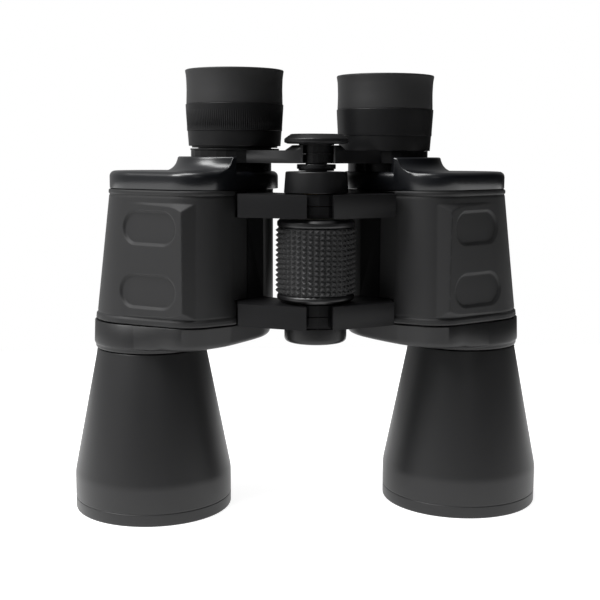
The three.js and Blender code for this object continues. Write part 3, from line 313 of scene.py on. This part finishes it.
def cover_points():
    """A closed section turned about the eyepiece axis, stretched to the housing's outline in each
    direction. The top is level, and from -90 to +90 degrees it is the boss: a sunk seat, a rim, and a
    quarter circle flare down to the level top."""
    quarter = math.pi / 2
    outer_side = np.linspace(-quarter, quarter, 181)
    inner_side = np.linspace(quarter, 3 * quarter, 91)
    angle = np.concatenate([outer_side, inner_side])
    boss = np.concatenate([np.ones(181, bool), np.zeros(91, bool)])
    circles = HOUSING_CIRCLES[1].copy()
    circles[2, 2] = COVER_GUIDE
    outline, _ = hull(circles, 2000)
    side = reach_from(EYEPIECE, outline[:-1], angle)
    curve = np.where(boss & (side < BOSS_RADIUS + BOSS_FLARE), BOSS_EDGE, COVER_ROUND)

    stops = np.array([TUBE_BORE, RECESS[0] - 0.01, RECESS[0], RECESS[0] + BOSS_EDGE,
                      BOSS_RADIUS - BOSS_EDGE, BOSS_RADIUS, BOSS_RADIUS + BOSS_FLARE])
    counts = (3, 2, 6, 6, 10, 26)
    spread = [np.linspace(a, b, n, endpoint=False) for a, b, n in zip(stops[:-1], stops[1:], counts)]
    radius = np.concatenate(spread + [[stops[-1]]])[None, :]
    rest = np.linspace(0, 1, 14)[None, 1:]
    limit = (side - curve)[:, None]
    far = stops[-1] + (np.maximum(limit, stops[-1]) - stops[-1]) * rest
    radius = np.concatenate([np.broadcast_to(radius, (len(angle), radius.shape[1])), far], 1)
    radius = np.minimum(radius, limit)

    climb = np.clip((BOSS_RADIUS + BOSS_FLARE - radius) / BOSS_FLARE, 0, 1)
    foot = 1 - np.sqrt(1 - climb ** 2)
    flare = COVER_Z[1] + (BOSS_TOP - COVER_Z[1]) * np.clip(foot, 0, 1)
    rim_out = np.clip((radius - (BOSS_RADIUS - BOSS_EDGE)) / BOSS_EDGE, 0, 1)
    rim_in = np.clip((RECESS[0] + BOSS_EDGE - radius) / BOSS_EDGE, 0, 1)
    rim = BOSS_TOP - BOSS_EDGE * (1 - np.sqrt(1 - np.maximum(rim_out, rim_in) ** 2))
    raised = np.where(radius < RECESS[0], RECESS[1], np.where(radius < BOSS_RADIUS, rim, flare))
    foot_top = BOSS_TOP - BOSS_EDGE
    raised = np.where((radius >= BOSS_RADIUS) & (raised > foot_top), foot_top, raised)
    top = np.where(boss[:, None], raised, COVER_Z[1])

    turn = np.linspace(0, quarter, 8)[None, 1:]
    round_r = limit + curve[:, None] * np.sin(turn)
    round_z = top[:, -1:] - curve[:, None] * (1 - np.cos(turn))
    wall = side[:, None]
    under = COVER_Z[1] - COVER_ROOF
    skirt_r = np.concatenate([wall, wall - 0.2, wall - COVER_WALL, wall - COVER_WALL], 1)
    skirt_z = np.broadcast_to([COVER_LIP + 0.2, COVER_LIP, COVER_LIP, under], skirt_r.shape)
    bore_r = np.concatenate([np.minimum(wall - COVER_WALL, COVER_GUIDE)] * 2 + [0 * wall + TUBE_BORE], 1)
    bore_z = np.broadcast_to([under, COVER_Z[0] + 0.6, COVER_Z[0] + 0.6], bore_r.shape)
    radius = np.concatenate([radius, round_r, skirt_r, bore_r], 1)
    height = np.concatenate([top, round_z, skirt_z, bore_z], 1)
    x = EYEPIECE[0] + radius * np.cos(angle)[:, None]
    y = EYEPIECE[1] + radius * np.sin(angle)[:, None]
    return np.stack([x, y, height], -1)


gloss_black = finish("gloss black", (0.004, 0.0045, 0.006), 0.3, 2.2, 0.02, mottle=0.05,
                     Specular_IOR_Level=0.5, Coat_Weight=0.1, Coat_Roughness=0.14)
lid = cover_points()
for side, body in HALVES:
    piece = solid(side + "_cover", lid, side == "right", sharp=50)
    seat(piece, gloss_black, "gloss_black", body, side + "_prism_cover")

# ---- front plates --------------------------------------------------------------------------------
# A plate moulded in grey glass-filled plastic closes the other end of each housing. The barrel screws
# into its collar, and its lower edge sweeps up towards the hinge.

PLATE_Z = (66.7, 75.7)
PLATE_SWEEP = 4.6               # how much higher the plate's lower edge is at its inner end
PLATE_DRAFT = 1.1
PLATE_FILLET = 3.2              # where the collar runs into the underside
SWEEP_START = 24.0              # the sweep rises from this distance from the objective's axis
SWEEP_LENGTH = 34.0
DRAFT_BLEND = 8.0               # the full draft is reached where the side is this far from the collar
PLATE_LIP = 0.5                 # least distance of the plate's side outside its collar
PLATE_ROUND = 2.6
PLATE_WALL = 2.0
PLATE_FLOOR = 2.4
COLLAR = (21.9, 64.7)           # radius and lower face
NECK_BORE = 19.7
OBJECTIVE = np.array([62.5, 26.6])


def plate_points():
    """A closed section turned about the objective axis and stretched to the housing's outline: the
    collar, a fillet, the underside that rises towards the inner end, a rounded lower edge, the drafted
    side, and the hollow inside."""
    angle = np.linspace(0, 2 * math.pi, 361)[:-1]
    outline, _ = hull(HOUSING_CIRCLES[0], 3000)
    side = reach_from(OBJECTIVE, outline[:-1], angle)[:, None]
    side = np.maximum(side, COLLAR[0] + PLATE_LIP)
    beyond = side - COLLAR[0]
    draft = PLATE_DRAFT * ramp(beyond, PLATE_LIP, DRAFT_BLEND)
    edge = np.minimum(PLATE_ROUND, beyond + 0.4)
    fillet = np.minimum(PLATE_FILLET, beyond * 0.7)

    def rise(radius):
        inward = np.clip((radius - SWEEP_START) / SWEEP_LENGTH, 0, 1) * (-np.cos(angle)[:, None]).clip(0, 1)
        return PLATE_SWEEP * inward ** 1.4

    turn = np.linspace(0, math.pi / 2, 8)[None]
    hub = np.broadcast_to([NECK_BORE, COLLAR[0] - 0.7, COLLAR[0] - 0.2, COLLAR[0]], (len(angle), 4))
    hub_z = np.broadcast_to([COLLAR[1], COLLAR[1], COLLAR[1] + 0.2, COLLAR[1] + 0.7], hub.shape)
    foot = COLLAR[0] + fillet * (1 - np.cos(turn))
    foot_z = PLATE_Z[0] + rise(foot) - (PLATE_Z[0] - COLLAR[1] - 0.9) * (1 - np.sin(turn))
    flat = foot[:, -1:] + (side - draft - edge - foot[:, -1:]) * np.linspace(0, 1, 12)[None]
    flat = np.maximum(flat, foot[:, -1:])
    flat_z = PLATE_Z[0] + rise(flat)
    curve = flat[:, -1:] + np.clip(side - draft - flat[:, -1:], 0, None) * np.sin(turn)
    curve_z = flat_z[:, -1:] + edge * (1 - np.cos(turn))
    top = np.concatenate([side - 0.3, side - 0.6, side - 0.6 - PLATE_WALL], 1)
    top_z = np.broadcast_to([PLATE_Z[1] - 0.3, PLATE_Z[1], PLATE_Z[1]], top.shape)
    inner = np.concatenate([side - 0.6 - PLATE_WALL, 0 * side + NECK_BORE], 1)
    floor = PLATE_Z[0] + PLATE_FLOOR
    inner_z = np.broadcast_to([floor + 1, floor + 1], inner.shape) + rise(inner) * 0.9
    radius = np.concatenate([hub, foot, flat, curve, top, inner], 1)
    height = np.concatenate([hub_z, foot_z, flat_z, curve_z, top_z, inner_z], 1)
    x = OBJECTIVE[0] + radius * np.cos(angle)[:, None]
    y = OBJECTIVE[1] + radius * np.sin(angle)[:, None]
    return np.stack([x, y, height], -1)


plate_grey = finish("plate grey", (0.009, 0.009, 0.0095), 0.46, 0.3, 0.2, mottle=0.05,
                    Specular_IOR_Level=0.4)
plate = plate_points()
for side, body in HALVES:
    piece = solid(side + "_front_plate_moulding", plate, side == "right", sharp=45)
    seat(piece, plate_grey, "plate_grey", body, side + "_front_plate")

# ---- objective barrels ---------------------------------------------------------------------------
# The tapered barrels are turned from aluminium tube and painted satin grey. A cemented doublet with a blue
# coating lies behind a flared hood, and a black threaded ring holds it.

BARREL_STEPS = 192


def soften(corners, closed=True, steps=6):
    """A path of (radius, height) through corners of (radius, height, round): each corner is cut back by
    its round along both edges and bridged by a quadratic curve."""
    corner = np.array(corners, float)
    spot, cut = corner[:, :2], corner[:, 2:]
    before, after = np.roll(spot, 1, 0) - spot, np.roll(spot, -1, 0) - spot
    before /= np.linalg.norm(before, axis=1, keepdims=True)
    after /= np.linalg.norm(after, axis=1, keepdims=True)
    if not closed:
        cut[[0, -1]] = 0
    t = np.linspace(0, 1, steps)[None, :, None]
    start, end = (spot + before * cut)[:, None], (spot + after * cut)[:, None]
    path = start * (1 - t) ** 2 + 2 * spot[:, None] * t * (1 - t) + end * t ** 2
    return path.reshape(-1, 2)


def turned(axis, path, steps=BARREL_STEPS):
    """The path of (radius, height) turned about an upright axis."""
    angle = np.linspace(0, 2 * math.pi, steps + 1)[:-1, None]
    radius, height = path[None, :, 0], path[None, :, 1]
    x = axis[0] + radius * np.cos(angle)
    y = axis[1] + radius * np.sin(angle)
    return np.stack([x, y, np.broadcast_to(height, x.shape)], -1)


def lens(radius, low, high, low_sag, high_sag):
    """Section of a glass from its lower pole to its upper pole: each face is a parabola that falls by its
    sag from the axis to the edge, and the ground edge joins them."""
    share = np.linspace(0, 1, 24)
    lower = np.stack([share * radius, low - low_sag * (1 - share ** 2)], -1)
    upper = np.stack([share[::-1] * radius, high + high_sag * (1 - share[::-1] ** 2)], -1)
    return np.concatenate([lower, upper])


# corners of a turned section: radius, height, round
BARREL = [(28.6, 0, 0.6), (31, 0, 0.9), (31, 4.6, 0.1), (30.86, 4.75, 0.1),
          (30.86, 5.1, 0.1), (31, 5.3, 0.1), (31, 14.7, 1.6), (21.26, 64.4, 0.5),
          (19.4, 64.4, 0.2), (19.4, 74, 0.5), (17.4, 74, 0.5), (17.4, 64, 1),
          (24.4, 26, 1), (24.4, 22.3, 0.1), (26.5, 22.3, 0.1), (26.5, 9.2, 0.2)]
OBJECTIVE_LENS = lens(26.2, 13.8, 16.7, 2.8, 3.4)
RETAINER = [(25, 10, 0.6), (26.2, 10, 0.2), (26.2, 13.2, 0.2), (25, 13.2, 0.4)]
barrel_grey = finish("barrel grey", (0.012, 0.012, 0.0125), 0.4, 0.22, 0.22, mottle=0.04,
                     Specular_IOR_Level=0.36)
black_anodised = finish("black anodised", (0.01, 0.01, 0.011), 0.4, 0.2, 0.1)
coated_glass = finish("coated glass", (0.02, 0.03, 0.07), 0.03, 8, 0.0, mottle=0.05,
                      Specular_IOR_Level=0.9, Coat_Weight=1.0, Coat_Roughness=0.02,
                      Coat_Tint=(0.45, 0.5, 1.0, 1.0))
for side, body in HALVES:
    flip = side == "right"
    piece = solid(side + "_barrel", turned(OBJECTIVE, soften(BARREL)), flip)
    seat(piece, barrel_grey, "barrel_grey", body, side + "_objective_barrel")
    glass = turned(OBJECTIVE, OBJECTIVE_LENS)
    piece = solid(side + "_objective_glass", glass, flip, wrap_v=False)
    seat(piece, coated_glass, "coated_glass", body, side + "_objective_crown")
    piece = solid(side + "_objective_retainer", turned(OBJECTIVE, soften(RETAINER)), flip)
    seat(piece, black_anodised, "black_anodised", body, side + "_objective_ring")

# ---- hinge ---------------------------------------------------------------------------------------
# Interleaved knuckles turn on bronze bushes. A moulded cap closes the top, and the lower cap carries the
# tripod bush behind it. Both are satin black.

HINGE = np.array([0.0, 0.0])
satin_black = finish("satin black", (0.008, 0.008, 0.0085), 0.36, 0.3, 0.12, mottle=0.05,
                     Specular_IOR_Level=0.32)
UPPER_CAP = [(7.5, 125.7, 0.2), (12, 125.7, 0.4), (11.4, 133.6, 0.6), (4.3, 133.6, 0.3),
             (4.3, 132.6, 0.1), (7.5, 132.6, 0.3)]
LOWER_CAP = [(0, 70.2, 0), (3, 70.2, 0.3), (3.2, 70.5, 0.1), (3.4, 70.2, 0.3),
             (11.7, 70.2, 1.9), (11.7, 76.2, 0.4), (3.2, 76.2, 0.1), (3.2, 81.6, 0.5),
             (0, 81.6, 0)]
piece = solid("hinge_cap_upper", turned(HINGE, soften(UPPER_CAP)))
seat(piece, satin_black, "satin_black", "right_half", "upper_cap")
piece = solid("hinge_cap_lower", turned(HINGE, soften(LOWER_CAP, closed=False)), wrap_v=False)
seat(piece, satin_black, "satin_black", "right_half", "lower_cap")

# ---- focus wheel ---------------------------------------------------------------------------------
# The wheel is a turned nut with a plain chamfered rim at each end. A moulded rubber sleeve with rows of
# small pyramids is stretched over it between the rims.

WHEEL = [(4.5, 85.8, 0.2), (13.6, 85.8, 0.3), (14.5, 86.7, 0.3), (14.5, 87.7, 0.3),
         (14, 88.3, 0.2), (13.2, 88.4, 0.1), (13.2, 113.1, 0.1), (14, 113.2, 0.2),
         (14.5, 113.8, 0.3), (14.5, 115.2, 0.3), (13.6, 116.1, 0.3), (4.5, 116.1, 0.2)]
GRIP_Z = (88.6, 112.9)
GRIP_CORE = 13.45
GRIP_ROOT = 14.15
GRIP_PEAK = 15.1
KNURL_ROWS = 13
KNURL_COLUMNS = 40
KNURL_GROOVE = 0.07             # half the width of a groove, as a share of the pitch


def grip_points():
    """A sleeve of four-sided pyramids: rows and columns are each divided at 0, g, 1/2 and 1 - g of a pitch,
    with g half the groove's share; the radius is the root everywhere but at the middle of a pitch both
    ways, where it is the peak. The section closes along the bore."""
    part = np.array([0, KNURL_GROOVE, 0.5, 1 - KNURL_GROOVE])
    angle = (np.arange(KNURL_COLUMNS)[:, None] + part).ravel() * 2 * math.pi / KNURL_COLUMNS
    share = np.append((np.arange(KNURL_ROWS)[:, None] + part).ravel(), KNURL_ROWS) / KNURL_ROWS
    z = np.concatenate([GRIP_Z[0] + share * (GRIP_Z[1] - GRIP_Z[0]), GRIP_Z[::-1]])
    radius = np.full((len(angle), len(z)), GRIP_ROOT)
    radius[2::4, 2:-2:4] = GRIP_PEAK
    radius[:, -2:] = GRIP_CORE
    x, y = radius * np.cos(angle)[:, None], radius * np.sin(angle)[:, None]
    return np.stack([x, y, np.broadcast_to(z, x.shape)], -1)


def grip_faces(count_u, count_v):
    """The grid's faces cut in two along the diagonal that runs up to the nearest peak."""
    quad = np.array(grid_faces(count_u, count_v, True, True))
    u, v = np.divmod(np.arange(len(quad)), count_v)
    in_groove = (u % 4 % 3 == 0) | (v % 4 % 3 == 0)
    rising = (in_groove | (u % 4 // 2 == v % 4 // 2))[:, None]
    first = np.where(rising, quad[:, [0, 1, 2]], quad[:, [0, 1, 3]])
    second = np.where(rising, quad[:, [0, 2, 3]], quad[:, [1, 2, 3]])
    return np.concatenate([first, second]).tolist()


wheel_black = finish("wheel black", (0.008, 0.008, 0.0085), 0.35, 0.3, 0.1, mottle=0.05)
grip_rubber = finish("grip rubber", (0.02, 0.02, 0.0205), 0.36, 0.2, 0.2, mottle=0.06)
piece = solid("wheel_body", turned(HINGE, soften(WHEEL)))
seat(piece, wheel_black, "wheel_black", "focus_wheel", "focus_wheel")
grip = grip_points()
piece = solid("wheel_grip_sleeve", grip, sharp=25, faces=grip_faces(*grip.shape[:2]))
seat(piece, grip_rubber, "grip_rubber", "focus_wheel", "focus_grip")

# ---- ocular bridge -------------------------------------------------------------------------------
# Two die-cast arms, each with a ring around its eyepiece tube, share the focus spindle. A turned disc
# closes the top and a collar sits below.

for side, body in (("left", "left_eyepiece"), ("right", "bridge")):
    node = "bridge_arm_" + side
    seat(edged_copy("bridge_casting_" + side, node, 0.45), satin_black, "satin_black", body, node)
BRIDGE_DISC = [(0, 143.26, 0), (6.5, 143.26, 0.05), (6.5, 143.7, 0.05), (10.6, 143.7, 0.3),
               (11.9, 144.2, 0.25), (11.9, 145.5, 0.3), (9.4, 147.3, 0.5), (0, 147.3, 0)]
COLLAR_RING = [(4.3, 133.85, 0.1), (6.6, 133.85, 0.2), (6.6, 134.5, 0.1), (7.2, 134.6, 0.2),
               (7.2, 136.3, 0.3), (4.3, 136.3, 0.1)]
HUB_WASHER = [(4.3, 139.97, 0.05), (6.8, 139.97, 0.05), (6.8, 140.23, 0.05), (4.3, 140.23, 0.05)]
piece = solid("bridge_disc", turned(HINGE, soften(BRIDGE_DISC, closed=False)), wrap_v=False)
seat(piece, satin_black, "satin_black", "bridge", "bridge_cap")
piece = solid("bridge_collar_ring", turned(HINGE, soften(COLLAR_RING)))
seat(piece, black_anodised, "black_anodised", "bridge", "bridge_collar")
piece = solid("bridge_hub_washer", turned(HINGE, soften(HUB_WASHER)))
seat(piece, black_anodised, "black_anodised", "bridge")

# ---- eyepieces -----------------------------------------------------------------------------------
# Black-chromed brass tubes slide in the covers. Turned rings carry folded rubber eyecups, and the ring on
# the user's right is ribbed because it sets the dioptre; that eyepiece stands a little higher.

DIOPTRE_LIFT = 1.6
RIBS = 140
RIB_DEPTH = 0.28
RIB_Z = (149.0, 156.0)
RIB_BLEND = 0.5                 # height over which the ribs run out
RIB_INNER = 17.5                # only what lies outside this radius is ribbed


def ring_points(axis, path, ribs=0):
    """The path turned about the axis; with ribs, the radius dips between them by half a cosine wave
    within the ribbed height."""
    points = turned(axis, path, ribs * 8 if ribs else BARREL_STEPS)
    if ribs:
        away = points[..., :2] - axis
        angle = np.arctan2(away[..., 1], away[..., 0])
        height = points[..., 2]
        band = (ramp(height, RIB_Z[0], RIB_Z[0] + RIB_BLEND)
                * (1 - ramp(height, RIB_Z[1] - RIB_BLEND, RIB_Z[1])))
        outside = np.linalg.norm(away, axis=-1) > RIB_INNER
        dip = RIB_DEPTH * (0.5 - 0.5 * np.cos(angle * ribs)) ** 2 * band * outside
        points[..., :2] -= away / np.linalg.norm(away, axis=-1, keepdims=True) * dip[..., None]
    return points


TUBE = [(11.9, 127.6, 0.2), (14.2, 127.6, 0.3), (14.2, 145.5, 0.3), (11.9, 145.5, 0.2)]
INDEX_RING = [(16.75, 141.35, 0.05), (17.2, 141.35, 0.05), (17.2, 142, 0.1), (16.75, 142, 0.05)]
LOWER_RING = [(14.5, 141.36, 0.2), (17.8, 141.36, 0.15), (18.2, 147.05, 0.15), (14.5, 147.05, 0.2)]
DIOPTRE_SKIRT = [(14.5, 140.7, 0.05), (16.6, 140.7, 0.1), (16.6, 141.36, 0.05)]
UPPER_RING = [(14.6, 147.07, 0.1), (18.4, 147.07, 0.12), (18.45, 149.0, 0.1), (18.5, 150, 0.1),
              (18.8, 155.0, 0.1), (18.85, 156.0, 0.1), (18.9, 157.2, 0.2), (12, 157.2, 0.2),
              (12, 154.2, 0.2), (14.6, 154.2, 0.2)]
EYECUP = [(12, 157.22, 0.2), (18.6, 157.22, 0.2), (18.45, 163, 1.5), (18.6, 167.6, 1.5),
          (19.05, 170.2, 0.6), (16.9, 170.2, 0.9), (16, 160.5, 1), (10.5, 159.3, 0.5),
          (10.5, 158.2, 0.2), (12, 158.2, 0.1)]
EYE_LENS = lens(10, 148.5, 151.5, 1.4, 1.4)
eyecup_rubber = finish("eyecup rubber", (0.01, 0.01, 0.0105), 0.56, 0.18, 0.3, mottle=0.06,
                       Sheen_Weight=0.05, Sheen_Roughness=0.5)
chrome = finish("tube black chrome", (0.02, 0.02, 0.022), 0.22, 0.5, 0.05, metal=0.6)
for side, body, head, lift in (("left", "left_eyepiece", "left_eyepiece", 0.0),
                               ("right", "bridge", "diopter_head", DIOPTRE_LIFT)):
    flip = side == "right"
    up = (0, lift)
    ribs = RIBS if flip else 0
    ring_node = "diopter_ring" if flip else "eyepiece_ring"
    piece = solid(side + "_tube", turned(EYEPIECE, soften(TUBE)), flip)
    seat(piece, chrome, "black_anodised", body, side + "_eyepiece_tube")
    clamp = DIOPTRE_SKIRT + LOWER_RING[1:] if flip else LOWER_RING
    piece = solid(side + "_clamp_ring", turned(EYEPIECE, soften(clamp) + up), flip)
    seat(piece, satin_black, "satin_black", head, side + "_lower_ring")
    piece = solid(ring_node + "_turned", ring_points(EYEPIECE, soften(UPPER_RING) + up, ribs), flip)
    seat(piece, satin_black, "satin_black", head, ring_node)
    piece = solid(side + "_rubber_eyecup", turned(EYEPIECE, soften(EYECUP) + up), flip)
    seat(piece, eyecup_rubber, "rubber_armour", head, side + "_eyecup")
    if flip:
        piece = solid("dioptre_index_ring", turned(EYEPIECE, soften(INDEX_RING)), flip)
        seat(piece, satin_black, "satin_black", "bridge")
    cell = "left_eyepiece" if side == "left" else "diopter_cell"
    glass = turned(EYEPIECE, EYE_LENS + up)
    piece = solid(side + "_eye_glass", glass, flip, wrap_v=False)
    seat(piece, coated_glass, "coated_glass", cell, side + "_eye_lens")

# ---- pieces inside -------------------------------------------------------------------------------
# The shelf, prisms, spring clips, cells and bushes stay as they are laid out, each in its own finish.

aluminium = finish("aluminium", (0.5, 0.5, 0.52), 0.35, 0.3, 0.1, metal=0.9)
brass = finish("brass", (0.55, 0.38, 0.14), 0.3, 0.3, 0.1, metal=0.95)
steel = finish("steel", (0.5, 0.5, 0.52), 0.28, 0.3, 0.08, metal=0.95)
nylon = finish("nylon", (0.62, 0.6, 0.54), 0.5, 0.4, 0.1)
prism_glass = finish("prism glass", (0.35, 0.42, 0.42), 0.05, 5, 0.0)
INNER = {"prism_shelf": aluminium, "prism_rear": prism_glass, "prism_front": prism_glass,
         "prism_clip_rear": steel, "prism_clip_front": steel, "objective_flint": prism_glass,
         "lens_cell": black_anodised, "field_lens": coated_glass, "lens_retainer": black_anodised,
         "hinge_bush": brass, "wheel_washer_lower": nylon, "wheel_washer_upper": nylon,
         "focus_spindle": black_anodised}
for node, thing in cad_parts.items():
    found = [material for ending, material in INNER.items() if node.endswith(ending)]
    if found:
        thing.data.materials.clear()
        thing.data.materials.append(found[0])

# ---- floor, lights and camera --------------------------------------------------------------------
# The object stands on a small plain white sheet. A large soft light on the upper left does most of the
# work, another hangs overhead and a faint one stands in front; the surround is bright only up to the left.

SHEET = (0.6, -0.26, 0.34)      # half width, front and back edge in metres
half, near, far = SHEET
sheet = [(-half, near, 0), (half, near, 0), (half, far, 0), (-half, far, 0)]
floor_mesh = bpy.data.meshes.new("floor")
floor_mesh.from_pydata(sheet, [], [(0, 1, 2, 3)])
floor = bpy.data.objects.new("floor", floor_mesh)
bpy.context.scene.collection.objects.link(floor)
floor.data.materials.append(finish("white sheet", (0.6, 0.6, 0.6), 0.9, 2, 0.02, mottle=0.01,
                                   Emission_Color=(1, 1, 1, 1), Emission_Strength=0.88))

BRIGHT_SIDE = (-0.75, 0.3, 0.59)
world = bpy.data.worlds.new("surround")
world.use_nodes = True
sky = world.node_tree
seen = sky.nodes["Background"]
seen.inputs["Color"].default_value = (1, 1, 1, 1)
seen.inputs["Strength"].default_value = 1.0
lighting = sky.nodes.new("ShaderNodeBackground")
lighting.inputs["Strength"].default_value = 0.5
bearing = sky.nodes.new("ShaderNodeTexCoord")
towards = sky.nodes.new("ShaderNodeVectorMath")
towards.operation = "DOT_PRODUCT"
towards.inputs[1].default_value = BRIGHT_SIDE
shade = sky.nodes.new("ShaderNodeMapRange")
shade.inputs["From Min"].default_value = -0.3
shade.inputs["From Max"].default_value = 1.0
shade.inputs["To Min"].default_value = 0.03
shade.inputs["To Max"].default_value = 1.0
rays = sky.nodes.new("ShaderNodeLightPath")
choose = sky.nodes.new("ShaderNodeMixShader")
sky.links.new(bearing.outputs["Generated"], towards.inputs[0])
sky.links.new(towards.outputs["Value"], shade.inputs["Value"])
sky.links.new(shade.outputs["Result"], lighting.inputs["Color"])
sky.links.new(rays.outputs["Is Camera Ray"], choose.inputs["Fac"])
sky.links.new(lighting.outputs["Background"], choose.inputs[1])
sky.links.new(seen.outputs["Background"], choose.inputs[2])
sky.links.new(choose.outputs["Shader"], sky.nodes["World Output"].inputs["Surface"])
bpy.context.scene.world = world
bpy.context.scene.view_settings.view_transform = "Standard"

# name, place, width and watts
LIGHTS = (("key", (-1.0, -0.4, 1.1), 0.6, 18),
          ("top", (-0.4, -0.3, 1.4), 0.6, 13),
          ("front", (0.1, -1.2, 0.6), 0.4, 0.4))
LIT_POINT = Vector((0, 0, 0.09))
for name, spot, width, watts in LIGHTS:
    lamp = bpy.data.lights.new(name, "AREA")
    lamp.size = width
    lamp.energy = watts
    lit = bpy.data.objects.new(name, lamp)
    lit.location = spot
    aim = LIT_POINT - Vector(spot)
    lit.rotation_euler = aim.to_track_quat("-Z", "Y").to_euler()
    bpy.context.scene.collection.objects.link(lit)

CAMERA_SPOT = (-0.04025, -0.41215, 0.13972)
CAMERA_AIM = (0.08677, 0.98686, -0.13628)
CAMERA_ROLL = 0.0042            # radians
FOCAL_LENGTH = 63.37            # millimetres, on a sensor 36 wide
lens_data = bpy.data.cameras.new("camera")
lens_data.lens = FOCAL_LENGTH
lens_data.sensor_width = 36
lens_data.clip_start = 0.01
camera = bpy.data.objects.new("camera", lens_data)
turn = Vector(CAMERA_AIM).to_track_quat("-Z", "Y").to_matrix().to_4x4()
camera.matrix_world = Matrix.Translation(CAMERA_SPOT) @ turn @ Matrix.Rotation(CAMERA_ROLL, 4, "Z")
bpy.context.scene.collection.objects.link(camera)
bpy.context.scene.camera = camera
